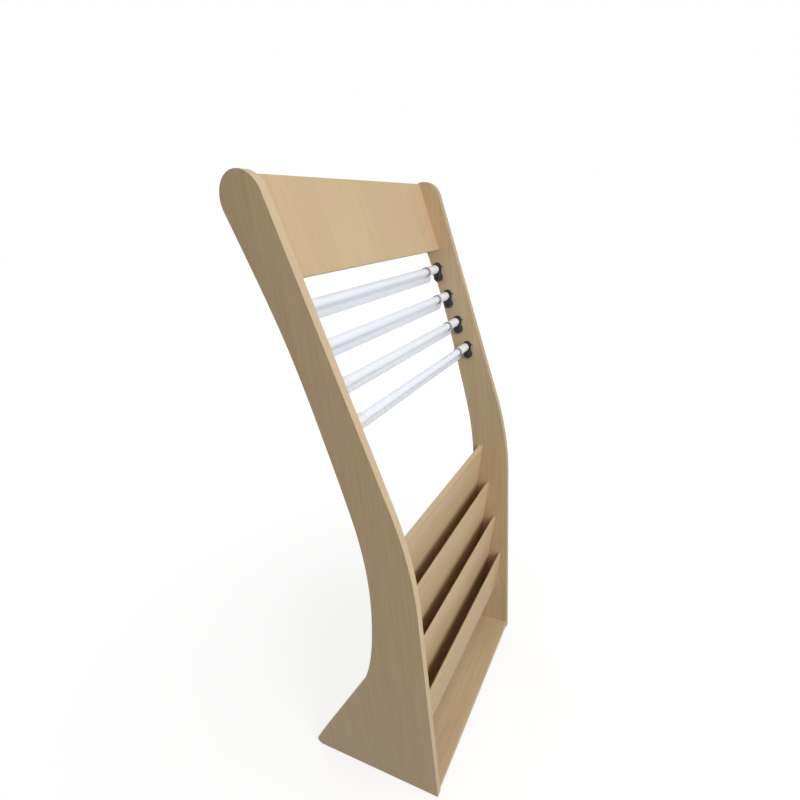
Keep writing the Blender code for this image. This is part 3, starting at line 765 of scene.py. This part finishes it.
# %% Holes for the cams
CAM_INSET = 0.034


def cam_matrices(middle, lean, thickness, reach, prefix):
    """Where each cam of a board goes: its own x is turned to the board's face."""
    up, back = up_and_back(lean)
    found = []
    for side in (-1, 1):
        for place in (-reach, reach):
            spot = middle + up * place + back * thickness / 2
            out = Vector((0, *back))
            along = Vector((-1, 0, 0))
            turn = Matrix((out, along, out.cross(along))).transposed().to_4x4()
            shift = Matrix.Translation((side * (INNER - CAM_INSET), spot.x - DEPTH / 2, spot.y))
            found.append((f"{prefix}_cam_{len(found) + 1}", shift @ turn))
    return found


header_cams = cam_matrices(header_middle, HEADER_LEAN, PANEL_T, HEADER_H / 4, "header")
base_cams = cam_matrices(base_middle, 90.0, BASE_T, BASE_DEPTH / 3, "base")
for made, cams, name, lean in (
    (header, header_cams, "header_board", HEADER_LEAN),
    (base, base_cams, "base_board", 90.0),
):
    holes = []
    for cam_name, matrix in cams:
        hole = cylinder("cam_hole", CAM_R + SEAT, -CAM_L - SEAT, PAST)
        hole.data.transform(matrix)
        holes.append(hole)
    combine(made, holes)
    faced(made, name, lean)

# %% [markdown]
# ## Metals and plastics
# Die-cast zinc is mottled and dull. The clips are satin anodised aluminium: pale and slightly blue, with
# faint lines left by the die that it was pressed through, all along its length. Anodising lays a milky skin
# on the metal, so the finish is only partly metallic. The hooks, collars and grips are moulded plastic with
# a fine texture that shows only near by.

# %% Plain material with fine noise
def surface(name, dark, light, rough, metallic, grain, stretch=(1.0, 1.0, 1.0), bump=0.1, depth=0.00005):
    """A solid finish: noise moves the colour and the roughness a little and lifts the surface."""
    made, tree, shader = blank(name)
    place = node(tree, "TexCoord").outputs["Object"]
    drawn = node(tree, "Mapping", {"Vector": place, "Scale": stretch}).outputs[0]
    fine = noise(tree, drawn, grain, 4.0, Roughness=0.6)
    blend = weighed(tree, fine, noise(tree, place, 35.0, 2.0), 0.6)
    tone = node(tree, "Mix", {0: blend, 6: dark, 7: light}, data_type="RGBA").outputs[2]
    tree.links.new(tone, shader.inputs["Base Color"])
    tree.links.new(spread(tree, blend, MIDDLING, rough), shader.inputs["Roughness"])
    lifted = node(tree, "Bump", {"Height": fine, "Strength": bump, "Distance": depth}).outputs[0]
    tree.links.new(lifted, shader.inputs["Normal"])
    shader.inputs["Metallic"].default_value = metallic
    return made


# %% Metals
ZINC = surface("die_cast_zinc", linear(150, 150, 154), linear(186, 186, 190), (0.38, 0.60), 1.0, 420.0)
ALUMINIUM = surface(
    "satin_aluminium",
    linear(238, 243, 253),
    linear(244, 248, 254),
    rough=(0.52, 0.62),
    metallic=0.25,
    grain=3.0,
    stretch=(1.0, 420.0, 420.0),
    bump=0.02,
    depth=0.00004,
)
SCREW_BLACK = surface("blackened_steel", linear(38, 38, 41), linear(56, 56, 60), (0.28, 0.42), 0.7, 600.0)
SPRING_STEEL = surface("spring_steel", linear(168, 168, 172), linear(200, 200, 204), (0.22, 0.34), 1.0, 500.0)

# %% Plastics
GRIP_WHITE = surface("grip_plastic", linear(239, 239, 243), linear(248, 248, 251), (0.34, 0.46), 0.0, 900.0)
COLLAR_GREY = surface(
    "collar_plastic", linear(150, 150, 155), linear(172, 172, 177), (0.42, 0.55), 0.0, 900.0
)
HOOK_BLACK = surface(
    "hook_plastic", linear(30, 30, 33), linear(44, 44, 48), (0.30, 0.44), 0.0, 1100.0, bump=0.2
)

# %% Eight cams
for cam_name, matrix in header_cams + base_cams:
    placed = copied(cam, cam_name + "_new", matrix)
    placed.data.materials.append(ZINC)
    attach(placed, "rack")
    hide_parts(cam_name)
bpy.data.objects.remove(cam, do_unlink=True)
print("cams placed", len(header_cams + base_cams))

# %% [markdown]
# ## Hooks
# A hook is moulded in one piece: a thin plate that arches up behind the end of the grip, a half-round
# cradle that the grip drops into, and a round lobe below for the one screw that holds it. It is drawn as a
# solid 12 mm block with the outline of the whole, then the space over the cradle is cut away down to the
# plate. A short peg behind keeps it from turning.

# %% Sizes of a hook
GRIP_R = 0.0125
CRADLE_R = GRIP_R + SEAT
CRADLE_T = 0.0026
CRADLE_FRONT, CRADLE_REAR = 195.0, 325.0
HOOK_D = 0.012
PLATE_T = 0.0038
ARCH_CENTRE = (-0.0055, 0.0060)
ARCH_R = 0.0130
ARCH_FRONT = 168.0
WALL_END = -62.0
LOBE_CENTRE = (-0.0090, -0.0220)
LOBE_R = 0.0123
WAIST_Y = -0.0166
NUB = Vector((-0.0217, 0.0075))
NUB_R = 0.0013
NUB_NECK = Vector((0.00325, -0.00208))
SILL_FALL = 0.15
HOOK_EASE = 0.0007
SINK_R = 0.0041
SINK_FLOOR = -0.0090
PEG_R = 0.0025
PEG_L = 0.005
OUTSIDE = -0.020

# %% Outlines of a hook
def hook_knots():
    """Arch, rear wall, lobe, waist and the nub in front."""
    arch = ends_sharp(arc(ARCH_CENTRE, ARCH_R, ARCH_FRONT, 0, 3))
    wall = arc((0, 0), CRADLE_R + CRADLE_T, CRADLE_REAR - 360, WALL_END, 2)
    lobe = arc(LOBE_CENTRE, LOBE_R, 0, -180, 3)
    nub = ends_sharp(arc(NUB, NUB_R, 250, 110, 2))
    tip = CRADLE_R * heading(CRADLE_REAR)
    waist_z = CRADLE_R * sin(radians(CRADLE_FRONT)) - CRADLE_T
    knots = arch + [corner(*tip), (wall[0][0], wall[0][1], None, wall[0][3]), wall[1], *lobe]
    return knots + [(WAIST_Y, waist_z, 90.0, None), corner(*(NUB + NUB_NECK)), *nub]


def over_cradle_knots():
    """The space that the grip drops through, open above and sloping down in front."""
    seat = ends_sharp(arc((0, 0), CRADLE_R, CRADLE_FRONT, CRADLE_REAR, 3))
    far = 3 * GRIP_R
    sill = seat[0][1] - SILL_FALL * (far + seat[0][0])
    return seat + [corner(far, seat[2][1]), corner(far, far), corner(-far, far), corner(-far, sill)]


print("hook knots", len(hook_knots()))

# %% One hook
hook = outline("hook", hook_knots(), -HOOK_D, 0.0, 12)
combine(hook, [outline("over_cradle", over_cradle_knots(), -2 * HOOK_D, -PLATE_T, 16)])
outer_edges = select(
    hook,
    "EDGE",
    lambda edge: max(v.co.x for v in edge.verts) < -HOOK_EASE
    and abs(edge.verts[0].co.x - edge.verts[1].co.x) < SEAT
    and edge.is_convex
    and edge.calc_face_angle(0.0) > radians(60),
)
bpy.ops.mesh.bevel(offset=HOOK_EASE, segments=3, affect="EDGES")
done()
combine(hook, [cylinder("screw_hole", SCREW_HOLE_R, OUTSIDE, PAST, SCREW_AT, 32)])
combine(hook, [cylinder("screw_sink", SINK_R, OUTSIDE, SINK_FLOOR, SCREW_AT, 40)])
combine(hook, [cylinder("peg", PEG_R, -PLATE_T / 2, PEG_L, PEG_AT, 32)], "UNION")
smoothed(hook, 40)
print("hook", len(hook.data.polygons), "faces, rounded edges", outer_edges)

# %% [markdown]
# ## Screws
# Each hook has one screw with a domed head and crossed slots. It starts as a flat cylinder for the head.
# The end that looks into the panel is inset to the shank's radius and pulled out twice, and the last ring
# is shrunk to a point. The rim of the head is rounded by a wide bevel, and two thin boxes cut the slots.

# %% One screw
SCREW_HEAD_R = 0.0038
SCREW_HEAD_T = 0.0022
SCREW_L = 0.020
SHANK_R = 0.00175
TIP_SHARE = 0.15
DOME = 0.0012
CROSS_DEEP, CROSS_LONG, CROSS_WIDE = 0.0026, 0.0042, 0.0008

screw = cylinder("screw", SCREW_HEAD_R, -SCREW_HEAD_T, 0.0, sides=48)
select(screw, "FACE", looks_right)
bpy.ops.mesh.inset(thickness=SCREW_HEAD_R - SHANK_R)
bpy.ops.mesh.extrude_region_move(TRANSFORM_OT_translate={"value": (SCREW_L - SHANK_R, 0, 0)})
bpy.ops.mesh.extrude_region_move(TRANSFORM_OT_translate={"value": (SHANK_R, 0, 0)})
bpy.ops.transform.resize(value=(1.0, TIP_SHARE, TIP_SHARE), center_override=(SCREW_L, 0, 0))
done()
select(screw, "EDGE", lambda edge: all(v.co.x < -0.9 * SCREW_HEAD_T for v in edge.verts))
bpy.ops.mesh.bevel(offset=DOME, segments=5, affect="EDGES")
done()
cross = [
    box("cross", (CROSS_DEEP, CROSS_LONG, CROSS_WIDE), (-SCREW_HEAD_T, 0, 0)),
    box("cross", (CROSS_DEEP, CROSS_WIDE, CROSS_LONG), (-SCREW_HEAD_T, 0, 0)),
]
combine(screw, cross)
smoothed(screw, 40)
print("screw", len(screw.data.polygons), "faces")

# %% Eight hooks and screws
HEAD_SUNK = 0.0030

for n in range(4):
    y, z = hook_place(n)
    for word, side in (("left", -1), ("right", 1)):
        mirror = Matrix.Diagonal((side, 1, 1, 1))
        place = CENTRED @ Matrix.Translation((side * (INNER - SEAT), y, z)) @ mirror
        placed = copied(hook, f"hook_{n + 1}_{word}_new", place)
        placed.data.materials.append(HOOK_BLACK)
        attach(placed, "rack")
        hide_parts(f"hook_{n + 1}_{word}")
        under_head = Matrix.Translation((-HOOK_D + HEAD_SUNK - SEAT, *SCREW_AT))
        placed = copied(screw, f"hook_screw_{n + 1}_{word}_new", place @ under_head)
        placed.data.materials.append(SCREW_BLACK)
        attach(placed, "rack")
        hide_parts(f"hook_screw_{n + 1}_{word}")
bpy.data.objects.remove(hook, do_unlink=True)
bpy.data.objects.remove(screw, do_unlink=True)
print("hooks and screws placed")

# %% [markdown]
# ## Newspaper clips
# A clip is two aluminium extrusions and two grips. The spine is a tube with a leaf behind, and the front
# jaw wraps round the tube like a hinge knuckle, so that both leaves run down side by side and pinch the
# fold of a newspaper. The dies leave shallow grooves along the leaves. Both profiles are drawn as outlines,
# with each groove as four extra knots, and pulled out to the clip's length.

# %% Sizes of a clip
CLIP_TILT = 23.3
GAP = 0.0004
TUBE_R = 0.0085
TUBE_BORE_R = 0.0063
END_PLAY = 0.001
GRIP_L = 0.055
TUBE_IN_GRIP = 0.040
GRIP_END = INNER - SEAT - PLATE_T - END_PLAY
GRIP_START = GRIP_END - GRIP_L
TUBE_END = GRIP_START + TUBE_IN_GRIP
COLLAR_R = 0.0130
COLLAR_L = 0.010
COLLAR_START = GRIP_START - SEAT - COLLAR_L
JAW_END = COLLAR_START - SEAT
LIP_INSET = 0.023
LIP_REACH = INNER - LIP_INSET
LIP_END = -0.037
LIP_TOP = -0.0185
LIP_ROUND = 0.0009
LEAF_T = 0.0018
LEAF_ANGLE = 210.0
WRAP_FROM = 5.0
WRAP_IN = TUBE_R + GAP
WRAP_OUT = WRAP_IN + LEAF_T
print("jaw ends at", round(JAW_END, 4), "grips from", round(GRIP_START, 4), "to", round(GRIP_END, 4))

# %% Grooves along a leaf
GROOVE = 0.0006
GROOVE_DEPTH = 0.00035
GROOVE_SHAPE = ((-1.0, 0), (-0.55, 1), (0.55, 1), (1.0, 0))


def grooved(start, end, shares):
    """Knots from start to end, with a shallow groove to the left of the way at each share of it."""
    start, end = Vector(start), Vector(end)
    way = (end - start).normalized()
    inward = Vector((-way.y, way.x)) * GROOVE_DEPTH
    knots = []
    for share in shares:
        middle = start.lerp(end, share)
        for slide, sunk in GROOVE_SHAPE:
            knots.append(corner(*(middle + way * GROOVE * slide + inward * sunk)))
    return knots


def lip_cutters():
    """Two boxes that clear the wrap and the leaf away from over the grips and leave the lips."""
    length = INNER - JAW_END
    height = WRAP_OUT - LIP_TOP + PAST
    spots = [(side * (JAW_END + length / 2), 0, LIP_TOP + height / 2) for side in (-1, 1)]
    return [box("lip_cutter", (length, 4 * WRAP_OUT, height), spot) for spot in spots]


# %% [markdown]
# ## Front jaw
# The outline runs over the tube and down the outside of the leaf to the lip, then up its inside and back
# round the tube. The leaf leaves the wrap in a straight line and turns upright where it meets the other
# jaw. At the ends the wrap and the upper leaf are milled away to make room for the grips, while the lips
# run on beneath them.

# %% Front jaw
leaf_way = heading(LEAF_ANGLE + 90)
outer = arc((0, 0), WRAP_OUT, WRAP_FROM, LEAF_ANGLE, 4)
inner = arc((0, 0), WRAP_IN, LEAF_ANGLE, WRAP_FROM, 4)
back_y = -GAP / 2
front_y = back_y - LEAF_T
front_z = outer[3][1] + (front_y - outer[3][0]) / leaf_way.x * leaf_way.y
back_z = inner[0][1] + (back_y - inner[0][0]) / leaf_way.x * leaf_way.y
jaw_knots = ends_sharp(outer)
jaw_knots += grooved(outer[3][:2], (front_y, front_z), (0.30, 0.62))
jaw_knots.append(corner(front_y, front_z))
jaw_knots += grooved((front_y, front_z), (front_y, LIP_END), (0.20, 0.42, 0.64))
jaw_knots += [(front_y, LIP_END + LIP_ROUND, None, -90.0), (front_y + LIP_ROUND, LIP_END, 0.0, None)]
jaw_knots += [corner(back_y, LIP_END), corner(back_y, back_z)]
jaw_knots += ends_sharp(inner)

jaw = outline("jaw", jaw_knots, -LIP_REACH, LIP_REACH, 14)
combine(jaw, lip_cutters())
smoothed(jaw, 25)
print("jaw", len(jaw.data.polygons), "faces")

# %% [markdown]
# ## Spine
# The spine is pressed in one piece, but is easier to build from two: the leaf as an outline whose upper end
# reaches into the wall of the tube, and the tube as a cylinder joined to it. The bore is cut last, so that
# no part of the leaf is left inside.

# %% Outline of the rear leaf
root = (TUBE_R + TUBE_BORE_R) / 2 * heading(-30)
near_y = GAP / 2
far_y = near_y + LEAF_T
bend = Vector((near_y + LEAF_T / 2, LIP_TOP))
run = (root - bend).normalized()
across = Vector((run.y, -run.x)) * LEAF_T / 2
near_z = bend.y - across.y + (near_y - (bend - across).x) / run.x * run.y
far_z = bend.y + across.y + (far_y - (bend + across).x) / run.x * run.y
leaf_knots = [corner(near_y, near_z), corner(near_y, LIP_END)]
leaf_knots += [(far_y - LIP_ROUND, LIP_END, None, 0.0), (far_y, LIP_END + LIP_ROUND, 90.0, None)]
leaf_knots += grooved((far_y, LIP_END), (far_y, far_z), (0.36, 0.58, 0.80))
leaf_knots += [corner(far_y, far_z), corner(*(root + across)), corner(*(root - across))]
print("leaf knots", len(leaf_knots))

# %% Spine
leaf = outline("leaf", leaf_knots, -LIP_REACH, LIP_REACH, 8)
combine(leaf, lip_cutters())
spine = cylinder("spine", TUBE_R, -TUBE_END, TUBE_END, sides=72)
combine(spine, [leaf], "UNION")
combine(spine, [cylinder("bore", TUBE_BORE_R, -INNER, INNER, sides=72)])
smoothed(spine, 25)
print("spine", len(spine.data.polygons), "faces")

# %% [markdown]
# ## Grips
# The grips are white mouldings pushed over the ends of the tube. Each starts as a cylinder: its outer rim
# is rounded by a bevel, and the inner end is inset and pushed in to make the bore. The left grip has a
# thicker shoulder where the right one has its collar, so both sides look alike.

# %% Bores and rounded rims
HAIR = 1e-5  # shorter than any edge of a piece
OUTER_RIM = 0.0016
INNER_RIM = 0.0008


def bored(obj, bore, depth):
    """Insets the end that looks to the left down to the bore and pushes it in."""
    left = min(v.co.x for v in obj.data.vertices)
    radius = max(v.co.yz.length for v in obj.data.vertices if v.co.x < left + HAIR)
    select(obj, "FACE", looks_left)
    bpy.ops.mesh.inset(thickness=(radius - bore) * cos(pi / ROUND_SIDES))
    bpy.ops.mesh.extrude_region_move(TRANSFORM_OT_translate={"value": (depth, 0, 0)})
    done()


def rounded(obj, width, segments, test):
    """Bevels the edges that pass the test."""
    select(obj, "EDGE", test)
    bpy.ops.mesh.bevel(offset=width, segments=segments, affect="EDGES")
    done()


# %% Grips
def grip(name, start, shoulder):
    """A grip of the right side, from its inner end to the hook."""
    body_start = start + shoulder
    made = cylinder(name, GRIP_R, body_start, GRIP_END)
    if shoulder:
        select(made, "FACE", looks_left)
        step = COLLAR_R - GRIP_R
        bpy.ops.mesh.extrude_region_move(TRANSFORM_OT_translate={"value": (-step, 0, 0)})
        wide = COLLAR_R / GRIP_R
        bpy.ops.transform.resize(value=(1.0, wide, wide), center_override=(body_start - step, 0, 0))
        bpy.ops.mesh.extrude_region_move(TRANSFORM_OT_translate={"value": (step - shoulder, 0, 0)})
        done()
    rounded(made, OUTER_RIM, 6, lambda edge: all(v.co.x > GRIP_END - HAIR for v in edge.verts))
    rounded(made, INNER_RIM, 3, lambda edge: all(v.co.x < start + HAIR for v in edge.verts))
    bored(made, TUBE_R + SEAT, TUBE_END + 2 * SEAT - start)
    smoothed(made, 30)
    return made


right_grip = grip("right_grip", GRIP_START, 0.0)
left_grip = grip("left_grip", JAW_END + SEAT, COLLAR_L)
print("grips", len(right_grip.data.polygons), len(left_grip.data.polygons), "faces")

# %% [markdown]
# ## Collar
# The grey collar beside the right grip is a cup that houses the closing spring. Both its rims are rounded,
# the room for the spring is pushed in from the left, and a narrower hole lets the tube through.

# %% Collar
SPRING_ROOM_R = 0.0117
SPRING_ROOM_DEPTH = 0.008

collar = cylinder("collar", COLLAR_R, COLLAR_START, GRIP_START - SEAT)
rounded(collar, INNER_RIM, 3, lambda edge: abs(edge.verts[0].co.x - edge.verts[1].co.x) < HAIR)
bored(collar, SPRING_ROOM_R, SPRING_ROOM_DEPTH)
combine(collar, [cylinder("tube_room", TUBE_R + SEAT, COLLAR_START - 0.001, GRIP_START + 0.001)])
smoothed(collar, 30)
print("collar", len(collar.data.polygons), "faces")

# %% [markdown]
# ## Four clips
# The five pieces are copied to each pair of hooks, turned so that the leaves hang down and a little back.
# The left grip is a mirrored copy. A jaw rides on its own body, because it opens, and the rest of a clip
# moves with the spine when it is lifted. The springs are small and hidden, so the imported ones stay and
# only get their steel.

# %% Four clips
for n in range(4):
    clip = f"clip_{n + 1}"
    y, z = hook_place(n)
    place = CENTRED @ Matrix.Translation((0, y, z)) @ Matrix.Rotation(radians(CLIP_TILT), 4, "X")
    turned = place @ Matrix.Diagonal((-1, 1, 1, 1))
    for word, source, matrix, material, slot, body in (
        ("spine", spine, place, ALUMINIUM, "aluminium", clip),
        ("jaw", jaw, place, ALUMINIUM, "aluminium", clip + "_front_jaw"),
        ("right_grip", right_grip, place, GRIP_WHITE, "white_plastic", clip),
        ("left_grip", left_grip, turned, GRIP_WHITE, "white_plastic", clip),
        ("collar", collar, place, COLLAR_GREY, "grey_plastic", clip),
    ):
        name = f"{clip}_{word}"
        placed = copied(source, name + "_new", matrix)
        placed.data.materials.append(material)
        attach(placed, body)
        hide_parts(name)
    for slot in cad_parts[clip + "_spring"].material_slots:
        slot.material = SPRING_STEEL
for source in (spine, jaw, right_grip, left_grip, collar):
    bpy.data.objects.remove(source, do_unlink=True)
print("clips placed")

# %% [markdown]
# ## Finish
# Nothing is left selected at the end.

# %% Finish
only()
